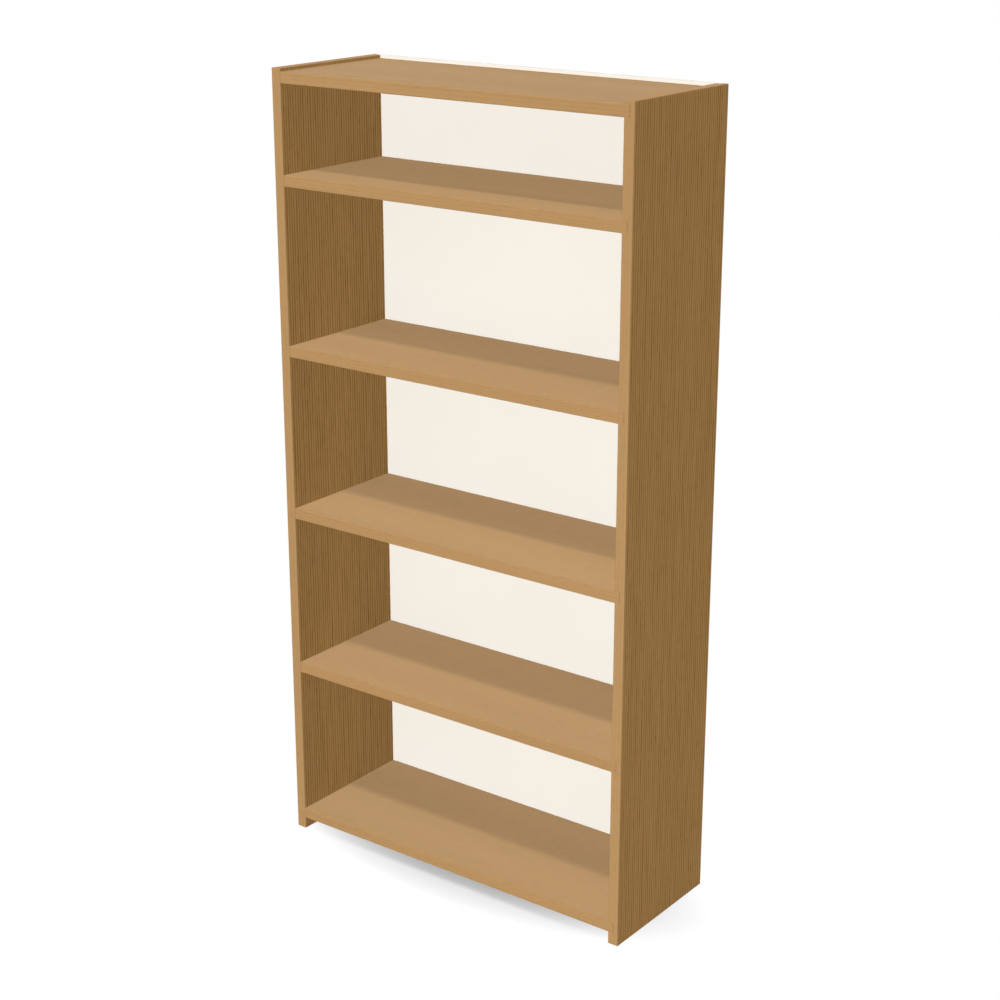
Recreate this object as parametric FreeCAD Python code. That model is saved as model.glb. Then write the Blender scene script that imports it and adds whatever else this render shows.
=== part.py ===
import FreeCAD, Part
import os

# Tall open bookcase: two side panels, six fixed boards let into them, and a back panel in rear rebates.
# Millimetres. +Z up, the front faces -Y, origin on the floor under the middle of the case.

# Case
case_width = 811.0
case_depth = 298.0
case_height = 1577.0      # over the side panels
panel_thick = 22.0
board_thick = 22.0
back_thick = 9.0

# Heights, from the lower ends of the side panels upwards
foot_gap = 24.0           # clear space under the bottom shelf
bay_count = 4             # equal bays, which share the height that the rest leaves
top_bay_clear = 171.0
lip_height = 6.0          # side panels and back above the top board

# Joinery
housing_depth = 11.0      # how deep the housings and rear rebates are cut into the side panels
housing_stop = 14.0       # the left housings end this far behind the front
housing_end_gap = 0.5     # board end to the bottom of its housing
back_side_gap = 0.5       # back panel edge to the rebate wall

# Oak lippings on the visible edges
lipping_thick = 2.0
arris = 0.8               # chamfer on the edges that a hand meets

# Screws
screw_dia = 4.0
screw_head_dia = 8.0
screw_tip = 4.0           # length of the pointed end
screw_clear = 0.15        # radial room round a screw
recess_wall = 0.4         # end of a cross recess to the line of the shank
recess_width = 1.0        # one arm of the cross recess
recess_depth = 1.2
pan_head_height = 2.4
back_screw_length = 30.0
back_screws_per_board = 4
back_screw_inset = 62.0   # first screw from the inner face of a side panel
screw_cover = 8.0         # wood left above the point of a bracket screw

# Wall brackets, steel angles under the top board
bracket_leg = 40.0
bracket_width = 20.0
bracket_thick = 2.0
bracket_bend = 1.0        # inner radius of the bend
bracket_corner = 4.0      # rounded corners of the legs
bracket_inset = 150.0     # inner face of a side panel to the middle of a bracket
bracket_hole_edge = 12.0  # hole to the end of its leg
wall_hole_dia = 5.5

# Nail-in glides
glide_height = 2.0
glide_margin = 2.5        # glide edge to the faces of its panel
glide_inset = 34.0        # glide middle to the front and the back of the case
glide_round = 0.6
glide_nail_dia = 2.4
glide_nail_length = 12.0
glide_nail_tip = 2.4
glide_nail_clear = 0.1

same_place = 0.01         # two points nearer than this are one point

# Places worked out from the sizes above
outer_x = case_width / 2
inner_x = outer_x - panel_thick
clear_width = 2 * inner_x
front_y = -case_depth / 2
rear_y = case_depth / 2
core_y = front_y + lipping_thick
back_y = rear_y - back_thick
panel_z = glide_height
tongue = housing_depth - housing_end_gap
rebate_width = housing_depth

board_names = ["bottom_shelf"]
board_names += [f"shelf_{number}" for number in range(1, bay_count + 1)]
board_names += ["top_board"]
all_boards = board_thick * len(board_names)
bay_clear = (case_height - foot_gap - all_boards - top_bay_clear - lip_height) / bay_count
board_z = [panel_z + foot_gap]
for bay in [bay_clear] * bay_count + [top_bay_clear]:
    board_z.append(board_z[-1] + board_thick + bay)
top_z = panel_z + case_height
core_top_z = top_z - lipping_thick

bracket_z = board_z[-1]
bracket_x = inner_x - bracket_inset
bracket_screw_length = bracket_thick + board_thick - screw_cover
countersink = (screw_head_dia - screw_dia) / 2
recess_span = screw_dia - 2 * recess_wall

LEFT = -1
RIGHT = 1
X = FreeCAD.Vector(1, 0, 0)
Y = FreeCAD.Vector(0, 1, 0)
Z = FreeCAD.Vector(0, 0, 1)


# Basic shapes

def point(x, y, z):
    return FreeCAD.Vector(x, y, z)


def box(x0, x1, y0, y1, z0, z1):
    """Block between two corners."""
    return Part.makeBox(x1 - x0, y1 - y0, z1 - z0, point(x0, y0, z0))


def bar(radius, start, direction, length):
    """Round bar from a start point along a direction."""
    return Part.makeCylinder(radius, length, start, direction)


def taper(radius0, radius1, start, direction, length):
    """Tapered round bar from a start point along a direction."""
    return Part.makeCone(radius0, radius1, length, start, direction)


def prism(corners, run):
    """Straight bar with a flat outline, drawn out along a run."""
    return Part.Face(Part.makePolygon(corners + corners[:1])).extrude(run)


def edges_near(solid, spots):
    """Edges whose middle lies at one of the spots."""
    return [edge for edge in solid.Edges
            if any((edge.CenterOfMass - spot).Length < same_place for spot in spots)]


def ease_edges(solid, edges):
    """Chamfer straight edges, each given as its start, its run and the two ways from it into the solid."""
    for start, run, way_a, way_b in edges:
        corners = [start + way_a * arris, start + way_b * arris, start - (way_a + way_b) * arris]
        solid = solid.cut(prism(corners, run))
    return solid


# Side panels and their lippings

def panel_span(side):
    """Lower and higher X of one side panel."""
    return sorted((side * inner_x, side * outer_x))


def housing_start(side):
    """Front end of the housings: run out through the front on the right, stopped on the left."""
    return front_y if side == RIGHT else front_y + housing_stop


def housings(side):
    """Space that the boards take out of one side panel and its front lipping."""
    x0, x1 = sorted((side * inner_x, side * (inner_x + housing_depth)))
    return Part.makeCompound([
        box(x0, x1, housing_start(side), back_y, z, z + board_thick) for z in board_z])


def rebate(side):
    """Space that the back panel takes out of one side panel and its top lipping."""
    x0, x1 = sorted((side * inner_x, side * (inner_x + rebate_width)))
    return box(x0, x1, back_y, rear_y, panel_z, top_z)


def glide_places(side):
    """Top middle of each glide, on the lower end of one side panel."""
    middle_x = side * (inner_x + panel_thick / 2)
    return [point(middle_x, y, panel_z) for y in (front_y + glide_inset, rear_y - glide_inset)]


def side_panel(side):
    """Upright board with its housings, its rear rebate and the nail holes for the glides."""
    x0, x1 = panel_span(side)
    panel = box(x0, x1, core_y, rear_y, panel_z, core_top_z)
    panel = panel.cut(housings(side)).cut(rebate(side))
    for place in glide_places(side):
        radius = glide_nail_dia / 2 + glide_nail_clear
        panel = panel.cut(bar(radius, place, Z, glide_nail_length + glide_nail_clear))
    outer_rear = point(side * outer_x, rear_y, panel_z)
    return ease_edges(panel, [(outer_rear, Z * (core_top_z - panel_z), X * -side, Y * -1)])


def front_lipping(side):
    """Strip on the front edge of a side panel, eased all round its face."""
    x0, x1 = panel_span(side)
    strip = box(x0, x1, front_y, core_y, panel_z, top_z)
    rise = Z * (top_z - panel_z)
    strip = ease_edges(strip, [
        (point(x0, front_y, panel_z), rise, X, Y),
        (point(x1, front_y, panel_z), rise, X * -1, Y),
        (point(x0, front_y, top_z), X * panel_thick, Y, Z * -1),
        (point(x0, front_y, top_z), Y * lipping_thick, X, Z * -1),
        (point(x1, front_y, top_z), Y * lipping_thick, X * -1, Z * -1),
    ])
    return strip.cut(housings(side))


def top_lipping(side):
    """Strip on the top end of a side panel, behind the front strip."""
    x0, x1 = panel_span(side)
    run = Y * (rear_y - core_y)
    strip = box(x0, x1, core_y, rear_y, core_top_z, top_z)
    strip = ease_edges(strip, [
        (point(x0, core_y, top_z), run, X, Z * -1),
        (point(x1, core_y, top_z), run, X * -1, Z * -1),
        (point(x0, rear_y, top_z), X * panel_thick, Y * -1, Z * -1),
        (point(side * outer_x, rear_y, core_top_z), Z * lipping_thick, X * -side, Y * -1),
    ])
    return strip.cut(rebate(side))


# Boards and their lippings

def board(z):
    """Fixed board: its right end fills a through housing, its left front corner clears a housing's stop."""
    plank = box(-inner_x - tongue, inner_x + tongue, core_y, back_y, z, z + board_thick)
    notch_y = housing_start(LEFT) + housing_end_gap
    return plank.cut(box(-inner_x - tongue, -inner_x, core_y, notch_y, z, z + board_thick))


def board_lipping(z):
    """Strip on a board's front edge, eased only between the side panels."""
    strip = box(-inner_x, inner_x + tongue, front_y, core_y, z, z + board_thick)
    return ease_edges(strip, [
        (point(-inner_x, front_y, z), X * clear_width, Y, Z),
        (point(-inner_x, front_y, z + board_thick), X * clear_width, Y, Z * -1),
    ])


# Screws

def cross_recess(top, inward):
    """Cross-shaped driver recess, from the top of a screw head inwards."""
    ways = (X, inward.cross(X))
    arms = []
    for along, across in (ways, ways[::-1]):
        reach = along * (recess_span / 2)
        half = across * (recess_width / 2)
        corners = [top - reach - half, top + reach - half, top + reach + half, top - reach + half]
        arms.append(prism(corners, inward * recess_depth))
    return arms[0].fuse(arms[1])


def pointed_bar(diameter, start, inward, length, tip):
    """Shank of a screw or nail, with a pointed end."""
    straight = length - tip
    shank = bar(diameter / 2, start, inward, straight)
    return shank.fuse(taper(diameter / 2, 0, start + inward * straight, inward, tip))


def countersunk_screw(top, inward):
    """Screw whose flat head lies level with the surface that it is driven into."""
    head = taper(screw_head_dia / 2, screw_dia / 2, top, inward, countersink)
    shank = pointed_bar(screw_dia, top, inward, back_screw_length, screw_tip)
    return head.fuse(shank).removeSplitter().cut(cross_recess(top, inward))


def pan_screw(seat, inward):
    """Screw whose rounded head stands on the surface that it is driven into."""
    top = seat - inward * pan_head_height
    head = bar(screw_head_dia / 2, top, inward, pan_head_height)
    head = head.makeFillet(pan_head_height / 2, edges_near(head, [top]))
    shank = pointed_bar(screw_dia, seat, inward, bracket_screw_length, screw_tip)
    return head.fuse(shank).removeSplitter().cut(cross_recess(top, inward))


# Back panel and what holds it

def back_screw_places():
    """Head of each back screw, in rows along the rear edges of the boards."""
    reach = inner_x - back_screw_inset
    step = 2 * reach / (back_screws_per_board - 1)
    columns = [-reach + step * number for number in range(back_screws_per_board)]
    return [point(x, rear_y, z + board_thick / 2) for z in board_z for x in columns]


def back_screw_holes():
    """Countersunk holes through the back panel and on into the boards."""
    radius = screw_dia / 2 + screw_clear
    sink_radius = screw_head_dia / 2 + screw_clear
    holes = []
    for place in back_screw_places():
        sink = taper(sink_radius, radius, place, Y * -1, countersink)
        holes.append(sink.fuse(bar(radius, place, Y * -1, back_screw_length + screw_clear)))
    return Part.makeCompound(holes)


def wall_hole(side):
    """Hole for a wall screw, through a bracket's upright leg and the back panel behind it."""
    start = point(side * bracket_x, back_y - bracket_thick, bracket_z - bracket_leg + bracket_hole_edge)
    return bar(wall_hole_dia / 2, start, Y, bracket_thick + back_thick)


def back_panel():
    """Painted board in the rear rebates, as tall as the side panels."""
    reach = inner_x + rebate_width - back_side_gap
    panel = box(-reach, reach, back_y, rear_y, panel_z, top_z)
    panel = panel.cut(back_screw_holes())
    for side in (LEFT, RIGHT):
        panel = panel.cut(wall_hole(side))
    width = X * (2 * reach)
    return ease_edges(panel, [
        (point(-reach, back_y, top_z), width, Y, Z * -1),
        (point(-reach, rear_y, top_z), width, Y * -1, Z * -1),
    ])


# Wall brackets

def bracket_screw_seat(side):
    """Where the head of a bracket's screw meets the flat leg, from below."""
    return point(side * bracket_x, back_y - bracket_leg + bracket_hole_edge, bracket_z - bracket_thick)


def bracket_screw_hole(side):
    """Hole for a bracket's screw, through the flat leg and up into the top board."""
    return bar(screw_dia / 2 + screw_clear, bracket_screw_seat(side), Z, bracket_screw_length + screw_clear)


def wall_bracket(side):
    """Bent steel angle: one leg under the top board, the other on the front of the back panel."""
    middle = side * bracket_x
    x0 = middle - bracket_width / 2
    leg_y = back_y - bracket_leg
    leg_z = bracket_z - bracket_leg
    inner_y = back_y - bracket_thick
    inner_z = bracket_z - bracket_thick
    outline = [(back_y, bracket_z), (leg_y, bracket_z), (leg_y, inner_z),
               (inner_y, inner_z), (inner_y, leg_z), (back_y, leg_z)]
    angle = prism([point(x0, y, z) for y, z in outline], X * bracket_width)
    angle = angle.makeFillet(bracket_bend, edges_near(angle, [point(middle, inner_y, inner_z)]))
    outer_bend = bracket_bend + bracket_thick
    angle = angle.makeFillet(outer_bend, edges_near(angle, [point(middle, back_y, bracket_z)]))
    corners = []
    for x in (x0, x0 + bracket_width):
        corners.append(point(x, leg_y, bracket_z - bracket_thick / 2))
        corners.append(point(x, back_y - bracket_thick / 2, leg_z))
    angle = angle.makeFillet(bracket_corner, edges_near(angle, corners))
    return angle.cut(bracket_screw_hole(side)).cut(wall_hole(side))


# Glides

def glide(place):
    """Round glide with an eased foot and a nail that goes up into the panel."""
    foot = place - Z * glide_height
    disc = bar(panel_thick / 2 - glide_margin, foot, Z, glide_height)
    disc = disc.makeFillet(glide_round, edges_near(disc, [foot]))
    nail = pointed_bar(glide_nail_dia, place, Z, glide_nail_length, glide_nail_tip)
    return disc.fuse(nail).removeSplitter()


def save(name, shape):
    """Write one named piece of the bookcase."""
    shape.exportStep(f"parts/{name}.step")


os.makedirs("parts", exist_ok=True)
sides = (LEFT, RIGHT)

for side_name, side in zip(("left", "right"), sides):
    save(f"{side_name}_side_panel", side_panel(side))
    save(f"{side_name}_front_lipping", front_lipping(side))
    save(f"{side_name}_top_lipping", top_lipping(side))
    save(f"{side_name}_wall_bracket", wall_bracket(side))

screw_holes = back_screw_holes()
for side in sides:
    screw_holes = screw_holes.fuse(bracket_screw_hole(side))
for name, z in zip(board_names, board_z):
    save(name, board(z).cut(screw_holes))
    save(f"{name}_lipping", board_lipping(z))

save("back_panel", back_panel())
back_screws = [countersunk_screw(place, Y * -1) for place in back_screw_places()]
save("back_screws", Part.makeCompound(back_screws))
bracket_screws = [pan_screw(bracket_screw_seat(side), Z) for side in sides]
save("bracket_screws", Part.makeCompound(bracket_screws))
floor_glides = [glide(place) for side in sides for place in glide_places(side)]
save("floor_glides", Part.makeCompound(floor_glides))
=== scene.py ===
import math

import bpy
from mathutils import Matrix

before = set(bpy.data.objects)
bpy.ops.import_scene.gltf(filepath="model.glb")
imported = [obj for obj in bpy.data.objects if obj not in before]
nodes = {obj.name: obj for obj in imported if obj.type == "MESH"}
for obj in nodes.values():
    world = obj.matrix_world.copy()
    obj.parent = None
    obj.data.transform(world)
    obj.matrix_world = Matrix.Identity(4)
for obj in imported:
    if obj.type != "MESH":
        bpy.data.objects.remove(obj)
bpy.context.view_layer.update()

# Tall open oak bookcase with a cream back, on a white studio floor. Metres, +Z up, the front faces -Y.

scene = bpy.context.scene
scene.view_settings.view_transform = "Standard"

BOARDS = ["bottom_shelf", "shelf_1", "shelf_2", "shelf_3", "shelf_4", "top_board"]
SIDES = ["left", "right"]
AXES = "XYZ"
WHITE = (1.0, 1.0, 1.0, 1.0)
WHOLE = (0.0, 1.0)
RIGHT_ANGLE = math.radians(90.0)

# Camera, from the picture's perspective
CAMERA_PLACE = (2.2207, -2.9363, 2.0044)
CAMERA_TURN = math.radians(36.8932)
CAMERA_TILT = math.radians(-18.5522)
FIELD_OF_VIEW = math.radians(28.006)

# Light, as shares of the light under which a colour renders as it is written
WORLD_LIGHT = 0.10
KEY_LIGHT = 0.26
KEY_HEIGHT = math.radians(65.8)
KEY_SPREAD = math.radians(4.0)
KEY_COLOUR = (1.0, 0.97, 0.80)
FILL_LIGHT = 0.767
FILL_HEIGHT = math.radians(27.2)
FILL_SIDE = math.radians(45.9)
REAR_LIGHT = 0.85
LOW_LIGHT = 0.45
FLOOR_LIGHT = 0.68
FLOOR_SPREAD = math.radians(60.0)

# Floor, and the ellipse on it, half length by half depth, at whose rim the shadow has faded
FLOOR_SIZE = 60.0
FLOOR_GREY = 0.85
FLOOR_GLOW = 0.337           # white given off in the middle of the ellipse; at its rim it is 1
SHADOW_RIM = (0.50, 0.21)
SHADOW_FALL = 3.0

# Noise: the range that holds most of its values, its number of finer layers and how much they count
NOISE_SPAN = (0.3, 0.7)
SMOOTH = 1.0
FINE = 2.0
FINEST = 3.0
SOFT = 0.5
HARD = 0.6

# Sockets of a mix node that take and give colours
MIX_FIRST = 6
MIX_SECOND = 7
MIX_RESULT = 2

# Faces by direction: a unit normal's largest part on eased edges, and its part along the grain on ends
EASED_FACING = (0.95, 0.75)
END_FACING = (0.8, 0.95)

# Oak grain: cells per metre, across the grain and along it
WANDER_CELLS = (55.0, 1.0)
FIBRE_CELLS = (1400.0, 9.0)
BREAK_CELLS = (170.0, 7.0)
PORE_CELLS = (1100.0, 45.0)
DRIFT_CELLS = (7.0, 0.8)

# Oak growth rings: a dark line in the middle of each, with its edges as shares of the ring
RING_PITCH = 0.0068
RING_WANDER = 0.006
HALF_RING = 0.5
LINE_EDGES = (0.10, 0.22)
LINE_STRENGTH = (0.76, 1.0)
BREAK_SPAN = (0.35, 0.6)
BREAK_STRENGTH = (0.66, 1.0)

# Oak fibres, pores, wear, painted shade and finish
FIBRE_RAGGED = 0.13
FIBRE_TONE = 0.18
FIBRE_RELIEF = 0.25
PORE_SPAN = (0.56, 0.66)
PORE_LINES = (0.0, 0.5)      # from bare wood to well inside a dark line
PORE_SHARE = (0.4, 1.0)
PORE_DEPTH = 0.00012
PORE_ROUGH = 0.15
DRIFT_TONE = (0.96, 1.04)
# Eased edges darkened: part wear, part painted shade against the extra light that the arrises catch
WEAR_AND_SHADE_SPAN = (0.35, 0.6)
WEAR_AND_SHADE_TONE = (0.04, 0.16)
# Ends darkened: end grain takes more finish, and the darker ends paint shade into the gaps of the joints
END_AND_GAP_SHADE = 0.45
OAK_ROUGH = (0.56, 0.68)
OAK_GLOSS = 0.04

# Oak colours, light wood and dark lines, with how much the pores darken them
PANEL_LIGHT = (0.492, 0.278, 0.097, 1.0)
PANEL_DARK = (0.270, 0.127, 0.028, 1.0)
PANEL_PORES = 0.35
BOARD_LIGHT = (0.520, 0.325, 0.163, 1.0)
BOARD_DARK = (0.498, 0.308, 0.148, 1.0)
BOARD_PORES = 0.12
# Painted shade: these factors darken the top board and the bottom shelf, which the lamps light more
# brightly than the other boards
BOARD_PAINTED_SHADE = {"bottom_shelf": 0.96, "top_board": 0.83}
EDGE_LIGHT = (0.435, 0.255, 0.110, 1.0)
EDGE_DARK = (0.415, 0.243, 0.103, 1.0)
EDGE_PORES = 0.12

# Cream paint
CREAM_DEEP = (0.908, 0.862, 0.780, 1.0)
CREAM_PALE = (0.933, 0.887, 0.808, 1.0)
CREAM_WORN = (0.80, 0.70, 0.55, 1.0)
CLOUD_CELLS = (3.0, 3.0, 3.0)
STIPPLE_CELLS = (700.0, 700.0, 700.0)
STIPPLE_DEPTH = 0.00012
THIN_SPAN = (0.35, 0.65)
THIN_SHARE = (0.4, 0.9)
CREAM_ROUGH = (0.55, 0.68)
CREAM_GLOSS = 0.2

# Zinc-plated steel
ZINC_DARK = (0.56, 0.58, 0.61, 1.0)
ZINC_PALE = (0.68, 0.69, 0.70, 1.0)
SPANGLE_CELLS = 420.0
SCRATCH_CELLS = (160.0, 2400.0, 2400.0)
SCRATCH_DEPTH = 0.00003
ZINC_METAL = 0.6
ZINC_ROUGH = (0.28, 0.46)

# Plastic of the glides
GLIDE_DARK = (0.030, 0.022, 0.017, 1.0)
GLIDE_SCUFFED = (0.075, 0.062, 0.052, 1.0)
MOULD_CELLS = (1800.0, 1800.0, 1800.0)
MOULD_DEPTH = 0.00005
SCUFF_CELLS = (120.0, 40.0, 120.0)
SCUFF_SPAN = (0.45, 0.75)
GLIDE_ROUGH = (0.38, 0.60)


class Shader:
    """Short way to write a material's nodes."""

    def __init__(self, name):
        self.material = bpy.data.materials.new(name)
        self.material.use_nodes = True
        self.tree = self.material.node_tree
        self.surface = self.tree.nodes["Principled BSDF"]

    def node(self, kind, inputs=None, **settings):
        made = self.tree.nodes.new(kind)
        for key, value in settings.items():
            setattr(made, key, value)
        for key, value in (inputs or {}).items():
            self.feed(made.inputs[key], value)
        return made

    def feed(self, socket, value):
        if isinstance(value, bpy.types.NodeSocket):
            self.tree.links.new(value, socket)
        else:
            socket.default_value = value

    def set(self, quality, value):
        self.feed(self.surface.inputs[quality], value)

    def math(self, operation, a, b=0.0):
        return self.node("ShaderNodeMath", {0: a, 1: b}, operation=operation).outputs[0]

    def plus(self, a, b):
        return self.math("ADD", a, b)

    def minus(self, a, b):
        return self.math("SUBTRACT", a, b)

    def times(self, a, b):
        return self.math("MULTIPLY", a, b)

    def remap(self, value, span, to=WHOLE):
        """Stretch the range span to the range to, and stop at its ends."""
        low, high = span
        inputs = {"Value": value, "From Min": low, "From Max": high, "To Min": to[0], "To Max": to[1]}
        return self.node("ShaderNodeMapRange", inputs).outputs["Result"]

    def vary(self, noise, to=WHOLE):
        return self.remap(noise, NOISE_SPAN, to)

    def place(self):
        return self.node("ShaderNodeTexCoord").outputs["Object"]

    def parts(self, vector):
        return self.node("ShaderNodeSeparateXYZ", {0: vector}).outputs

    def scaled(self, scale):
        return self.node("ShaderNodeMapping", {"Vector": self.place(), "Scale": scale}).outputs["Vector"]

    def noise(self, cells, detail=FINE, rough=SOFT):
        """Noise with this number of cells per metre along X, Y and Z."""
        inputs = {"Vector": self.scaled(cells), "Scale": 1.0, "Detail": detail, "Roughness": rough}
        return self.node("ShaderNodeTexNoise", inputs).outputs["Fac"]

    def blend(self, share, a, b, mode="MIX"):
        inputs = {"Factor": share, MIX_FIRST: a, MIX_SECOND: b}
        return self.node("ShaderNodeMix", inputs, data_type="RGBA", blend_type=mode).outputs[MIX_RESULT]

    def grey(self, level):
        return self.node("ShaderNodeCombineColor", {0: level, 1: level, 2: level}).outputs[0]

    def bump(self, height, distance):
        return self.node("ShaderNodeBump", {"Height": height, "Distance": distance}).outputs["Normal"]

    def facing(self):
        """Direction that a face looks in, as the absolute parts of its unit normal."""
        normal = self.node("ShaderNodeNewGeometry").outputs["True Normal"]
        return self.parts(self.node("ShaderNodeVectorMath", {0: normal}, operation="ABSOLUTE").outputs[0])

    def eased_edges(self):
        """1 on eased edges, whose faces lie between the main directions, and 0 on the main faces."""
        x, y, z = self.facing()
        largest = self.math("MAXIMUM", self.math("MAXIMUM", x, y), z)
        return self.remap(largest, EASED_FACING)

    def end_grain_and_gap_shade(self, along):
        """Tone of the ends of a piece: end grain takes up more finish than its long faces, and the darker
        ends also paint shade into the gaps of the joints.
        """
        return self.remap(self.facing()[along], END_FACING, (1.0, END_AND_GAP_SHADE))


def oak(name, along, light, dark, pores, painted_shade_factor=1.0):
    """Matt lacquered oak with straight grain along one axis.

    Dark lines mark the growth rings. They wander, differ in strength and break up along their length.
    """
    shader = Shader(name)

    def grain(cells, detail=FINE, rough=SOFT):
        across, length = cells
        return shader.noise([length if axis == along else across for axis in AXES], detail, rough)

    place = shader.parts(shader.place())
    first, second = [place[axis] for axis in AXES if axis != along]
    wander = shader.times(grain(WANDER_CELLS), RING_WANDER)
    phase = shader.math("DIVIDE", shader.plus(shader.plus(first, second), wander), RING_PITCH)
    fibre = grain(FIBRE_CELLS, rough=HARD)
    from_middle = shader.math("PINGPONG", phase, HALF_RING)
    ragged = shader.plus(from_middle, shader.vary(fibre, (-FIBRE_RAGGED, FIBRE_RAGGED)))
    line = shader.remap(ragged, LINE_EDGES, (1.0, 0.0))
    ring = shader.math("ROUND", phase)
    strength = shader.node("ShaderNodeTexWhiteNoise", {"W": ring}, noise_dimensions="1D").outputs["Value"]
    line = shader.times(line, shader.remap(strength, WHOLE, LINE_STRENGTH))
    line = shader.times(line, shader.remap(grain(BREAK_CELLS), BREAK_SPAN, BREAK_STRENGTH))
    shade = shader.plus(line, shader.vary(fibre, (FIBRE_TONE, -FIBRE_TONE)))
    colour = shader.blend(shade, light, dark)

    drift = grain(DRIFT_CELLS, SMOOTH)
    pore = shader.remap(grain(PORE_CELLS, SMOOTH), PORE_SPAN)
    pore = shader.times(pore, shader.remap(line, PORE_LINES, PORE_SHARE))
    # eased edges darker: part wear, part painted shade against the extra light that the arrises catch
    wear_and_shade = shader.times(shader.eased_edges(), shader.remap(drift, WEAR_AND_SHADE_SPAN, WEAR_AND_SHADE_TONE))
    # painted shade: the whole piece is darkened by the given factor
    level = shader.vary(drift, [share * painted_shade_factor for share in DRIFT_TONE])
    level = shader.times(level, shader.minus(1.0, shader.times(pore, pores)))
    # ends darker: end grain that takes more finish, and painted shade in the gaps of the joints
    level = shader.times(shader.minus(level, wear_and_shade), shader.end_grain_and_gap_shade(along))
    rough = shader.plus(shader.vary(fibre, OAK_ROUGH), shader.times(pore, PORE_ROUGH))
    relief = shader.minus(shader.times(fibre, FIBRE_RELIEF), pore)
    shader.set("Base Color", shader.blend(1.0, colour, shader.grey(level), "MULTIPLY"))
    shader.set("Roughness", rough)
    shader.set("Specular IOR Level", OAK_GLOSS)
    shader.set("Normal", shader.bump(relief, PORE_DEPTH))
    return shader.material


def cream_paint():
    """Matt cream paint with a fine roller texture, thinner on the edges."""
    shader = Shader("cream_paint")
    cloud = shader.noise(CLOUD_CELLS, FINEST)
    stipple = shader.noise(STIPPLE_CELLS)
    colour = shader.blend(shader.vary(cloud), CREAM_DEEP, CREAM_PALE)
    thin = shader.times(shader.eased_edges(), shader.remap(cloud, THIN_SPAN, THIN_SHARE))
    shader.set("Base Color", shader.blend(thin, colour, CREAM_WORN))
    shader.set("Roughness", shader.vary(stipple, CREAM_ROUGH))
    shader.set("Specular IOR Level", CREAM_GLOSS)
    shader.set("Normal", shader.bump(stipple, STIPPLE_DEPTH))
    return shader.material


def zinc_steel():
    """Zinc-plated steel: cool grey metal under a dull film, with soft spangles and fine scratches."""
    shader = Shader("zinc_steel")
    cells = shader.node("ShaderNodeTexVoronoi", {"Vector": shader.place(), "Scale": SPANGLE_CELLS})
    spangle = shader.node("ShaderNodeSeparateColor", {0: cells.outputs["Color"]}).outputs[0]
    scratch = shader.noise(SCRATCH_CELLS)
    shader.set("Base Color", shader.blend(spangle, ZINC_DARK, ZINC_PALE))
    shader.set("Metallic", ZINC_METAL)
    shader.set("Roughness", shader.vary(scratch, ZINC_ROUGH))
    shader.set("Normal", shader.bump(scratch, SCRATCH_DEPTH))
    return shader.material


def glide_plastic():
    """Dark brown moulded plastic with a fine grain and scuffs."""
    shader = Shader("glide_plastic")
    mould = shader.noise(MOULD_CELLS)
    scuff = shader.noise(SCUFF_CELLS, FINEST)
    shader.set("Base Color", shader.blend(shader.remap(scuff, SCUFF_SPAN), GLIDE_DARK, GLIDE_SCUFFED))
    shader.set("Roughness", shader.vary(scuff, GLIDE_ROUGH))
    shader.set("Normal", shader.bump(mould, MOULD_DEPTH))
    return shader.material


def finish_nodes(names, material):
    """Give CAD pieces a material."""
    for name in names:
        mesh = nodes[name].data
        mesh.materials.clear()
        mesh.materials.append(material)


def dress():
    """Finish every piece, with the grain along the length of each oak one."""
    panel = oak("oak_panel", "Z", PANEL_LIGHT, PANEL_DARK, PANEL_PORES)
    edges = {axis: oak(f"oak_edge_{axis}", axis, EDGE_LIGHT, EDGE_DARK, EDGE_PORES) for axis in AXES}
    finish_nodes([f"{side}_side_panel" for side in SIDES], panel)
    finish_nodes([f"{side}_front_lipping" for side in SIDES], edges["Z"])
    finish_nodes([f"{side}_top_lipping" for side in SIDES], edges["Y"])
    for name in BOARDS:
        # painted shade factor for this board, 1 where none is painted
        painted_shade_factor = BOARD_PAINTED_SHADE.get(name, 1.0)
        finish_nodes([name], oak(f"oak_{name}", "X", BOARD_LIGHT, BOARD_DARK, BOARD_PORES, painted_shade_factor))
    finish_nodes([f"{name}_lipping" for name in BOARDS], edges["X"])
    finish_nodes(["back_panel"], cream_paint())
    brackets = [f"{side}_wall_bracket" for side in SIDES]
    finish_nodes(["back_screws", "bracket_screws"] + brackets, zinc_steel())
    finish_nodes(["floor_glides"], glide_plastic())


def sun(name, share, height, turn, spread=0.0, fill=False):
    """Distant lamp at a height above the horizon, turned about Z from straight in front of the bookcase.

    A fill lamp is even and plain: no shadow, no highlight, and no light thrown on from surface to surface.
    """
    lamp = bpy.data.lights.new(name, "SUN")
    lamp.energy = share * math.pi
    lamp.angle = spread
    if fill:
        lamp.use_shadow = False
        lamp.cycles.max_bounces = 0
    holder = bpy.data.objects.new(name, lamp)
    holder.visible_glossy = not fill
    holder.rotation_euler = (RIGHT_ANGLE - height, 0.0, turn)
    scene.collection.objects.link(holder)
    return holder


def light_rule(lamp, pieces, state):
    """Let a lamp light only these pieces (INCLUDE) or everything but them (EXCLUDE)."""
    group = bpy.data.collections.new(f"{lamp.name}_receivers")
    for piece in pieces:
        group.objects.link(piece)
    for entry in group.collection_objects:
        entry.light_linking.link_state = state
    lamp.light_linking.receiver_collection = group


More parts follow.
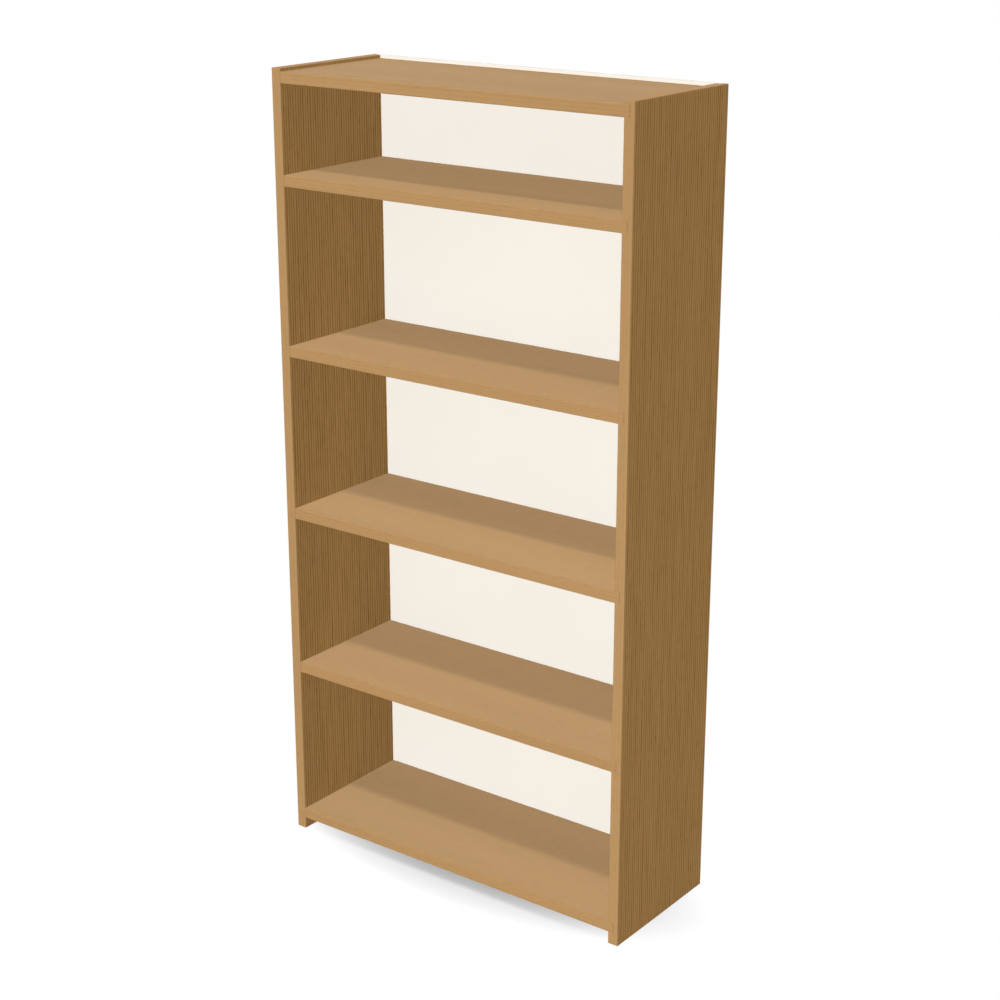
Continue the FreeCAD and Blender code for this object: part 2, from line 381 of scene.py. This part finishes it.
def seen_rays(tree):
    """1 for rays that show the surroundings: from the camera, in reflections and through glass."""
    path = tree.nodes.new("ShaderNodeLightPath").outputs
    total = path["Is Camera Ray"]
    for name in ("Is Glossy Ray", "Is Transmission Ray"):
        step = tree.nodes.new("ShaderNodeMath")
        step.operation = "MAXIMUM"
        tree.links.new(total, step.inputs[0])
        tree.links.new(path[name], step.inputs[1])
        total = step.outputs[0]
    return total


def studio_world():
    """Even white surroundings that light the object less than they show."""
    world = bpy.data.worlds.new("studio")
    world.use_nodes = True
    scene.world = world
    tree = world.node_tree
    lit = tree.nodes["Background"]
    shown = tree.nodes.new("ShaderNodeBackground")
    for glow, strength in ((lit, WORLD_LIGHT), (shown, 1.0)):
        glow.inputs["Color"].default_value = WHITE
        glow.inputs["Strength"].default_value = strength
    pick = tree.nodes.new("ShaderNodeMixShader")
    tree.links.new(seen_rays(tree), pick.inputs[0])
    tree.links.new(lit.outputs[0], pick.inputs[1])
    tree.links.new(shown.outputs[0], pick.inputs[2])
    tree.links.new(pick.outputs[0], tree.nodes["World Output"].inputs["Surface"])


def floor():
    """Matt floor with a soft shadow round the object, which fades to white at the ellipse's rim."""
    half = FLOOR_SIZE / 2
    corners = [(-half, -half, 0.0), (half, -half, 0.0), (half, half, 0.0), (-half, half, 0.0)]
    mesh = bpy.data.meshes.new("floor")
    mesh.from_pydata(corners, [], [(0, 1, 2, 3)])
    ground = bpy.data.objects.new("floor", mesh)
    scene.collection.objects.link(ground)
    shader = Shader("floor")
    inside = shader.scaled((1.0 / SHADOW_RIM[0], 1.0 / SHADOW_RIM[1], 0.0))
    distance = shader.node("ShaderNodeVectorMath", {0: inside}, operation="LENGTH").outputs["Value"]
    fade = shader.math("MINIMUM", shader.math("POWER", distance, SHADOW_FALL), 1.0)
    seen = seen_rays(shader.tree)
    level = shader.times(shader.minus(1.0, shader.times(seen, fade)), FLOOR_GREY)
    glow = shader.times(seen, shader.remap(fade, WHOLE, (FLOOR_GLOW, 1.0)))
    shader.set("Base Color", shader.grey(level))
    shader.set("Roughness", 1.0)
    shader.set("Specular IOR Level", 0.0)
    shader.set("Emission Color", WHITE)
    shader.set("Emission Strength", glow)
    mesh.materials.append(shader.material)
    return ground


def lamps(ground):
    """Key from above, even fill from both front sides, behind and below, and a lamp for the floor alone."""
    key = sun("key", KEY_LIGHT, KEY_HEIGHT, 0.0, KEY_SPREAD)
    key.data.color = KEY_COLOUR
    light_rule(key, [ground, nodes["back_panel"]], "EXCLUDE")
    for name, turn in (("fill_right", FILL_SIDE), ("fill_left", -FILL_SIDE)):
        fill = sun(name, FILL_LIGHT, FILL_HEIGHT, turn, fill=True)
        light_rule(fill, [ground], "EXCLUDE")
    sun("fill_rear", REAR_LIGHT, 0.0, 2 * RIGHT_ANGLE, fill=True)
    sun("fill_low", LOW_LIGHT, -RIGHT_ANGLE, 0.0, fill=True)
    above = sun("floor_light", FLOOR_LIGHT, RIGHT_ANGLE, 0.0, FLOOR_SPREAD)
    above.data.cycles.max_bounces = 0
    above.data.cycles.use_multiple_importance_sampling = False
    light_rule(above, [ground], "INCLUDE")


def camera():
    """Camera at the picture's place, turn and tilt."""
    lens = bpy.data.cameras.new("camera")
    lens.angle = FIELD_OF_VIEW
    holder = bpy.data.objects.new("camera", lens)
    holder.location = CAMERA_PLACE
    holder.rotation_euler = (RIGHT_ANGLE + CAMERA_TILT, 0.0, CAMERA_TURN)
    scene.collection.objects.link(holder)
    scene.camera = holder


dress()
studio_world()
lamps(floor())
camera()
